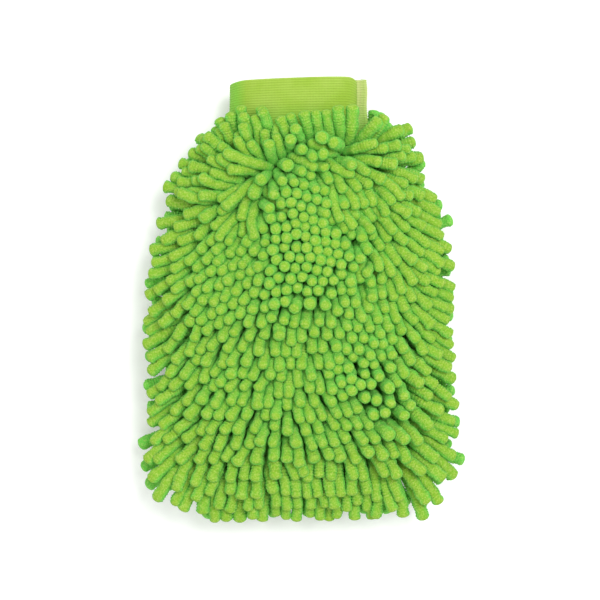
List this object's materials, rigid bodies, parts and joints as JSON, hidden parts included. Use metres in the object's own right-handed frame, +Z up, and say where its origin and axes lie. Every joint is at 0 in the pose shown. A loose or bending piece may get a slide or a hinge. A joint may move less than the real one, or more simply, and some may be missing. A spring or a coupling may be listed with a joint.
{
  "type": "wash mitt",
  "caption": "chenille wash mitt: a lined pouch for the hand covered in finger-like microfibre tufts on both faces, with a ribbed elastic cuff",
  "frame": {"origin": "under the middle of the mitt, on the surface that its back panel lies on", "axes": "+Z up through the thickness, +Y from the fingertips to the cuff, +X across the hand"},
  "size_m": [0.1856, 0.261, 0.0741],
  "materials": {
    "chenille": "soft lime-green microfibre chenille, ringed and fuzzy",
    "base_cloth": "woven microfibre ground, matt green",
    "lining": "plain knitted polyester lining, matt",
    "rib_knit": "elastic rib knit, lime green",
    "seam_thread": "overlock stitching over knit",
    "elastic": "covered elastic thread"
  },
  "bodies": {
    "root": {"front_base_cloth": "base_cloth", "back_base_cloth": "base_cloth", "front_lining": "lining", "back_lining": "lining", "body_seam": "seam_thread", "rib_knit_cuff": "rib_knit", "cuff_elastic_threads": "elastic", "cuff_side_seam": "seam_thread", "neck_seam": "seam_thread", "front_tuft_line_01": "chenille", "front_tuft_line_02": "chenille", "front_tuft_line_03": "chenille", "front_tuft_line_04": "chenille", "front_tuft_line_05": "chenille", "front_tuft_line_06": "chenille", "front_tuft_line_07": "chenille", "front_tuft_line_08": "chenille", "front_tuft_line_09": "chenille", "front_tuft_line_10": "chenille", "front_tuft_line_11": "chenille", "front_tuft_line_12": "chenille", "front_tuft_line_13": "chenille", "front_tuft_line_14": "chenille", "front_tuft_line_15": "chenille", "front_tuft_line_16": "chenille", "front_tuft_line_17": "chenille", "front_tuft_line_18": "chenille", "front_tuft_line_19": "chenille", "front_tuft_line_20": "chenille", "back_tuft_line_01": "chenille", "back_tuft_line_02": "chenille", "back_tuft_line_03": "chenille", "back_tuft_line_04": "chenille", "back_tuft_line_05": "chenille", "back_tuft_line_06": "chenille", "back_tuft_line_07": "chenille", "back_tuft_line_08": "chenille", "back_tuft_line_09": "chenille", "back_tuft_line_10": "chenille", "back_tuft_line_11": "chenille", "back_tuft_line_12": "chenille", "back_tuft_line_13": "chenille", "back_tuft_line_14": "chenille", "back_tuft_line_15": "chenille", "back_tuft_line_16": "chenille", "back_tuft_line_17": "chenille", "back_tuft_line_18": "chenille", "back_tuft_line_19": "chenille", "back_tuft_line_20": "chenille"}
  },
  "joints": []
}
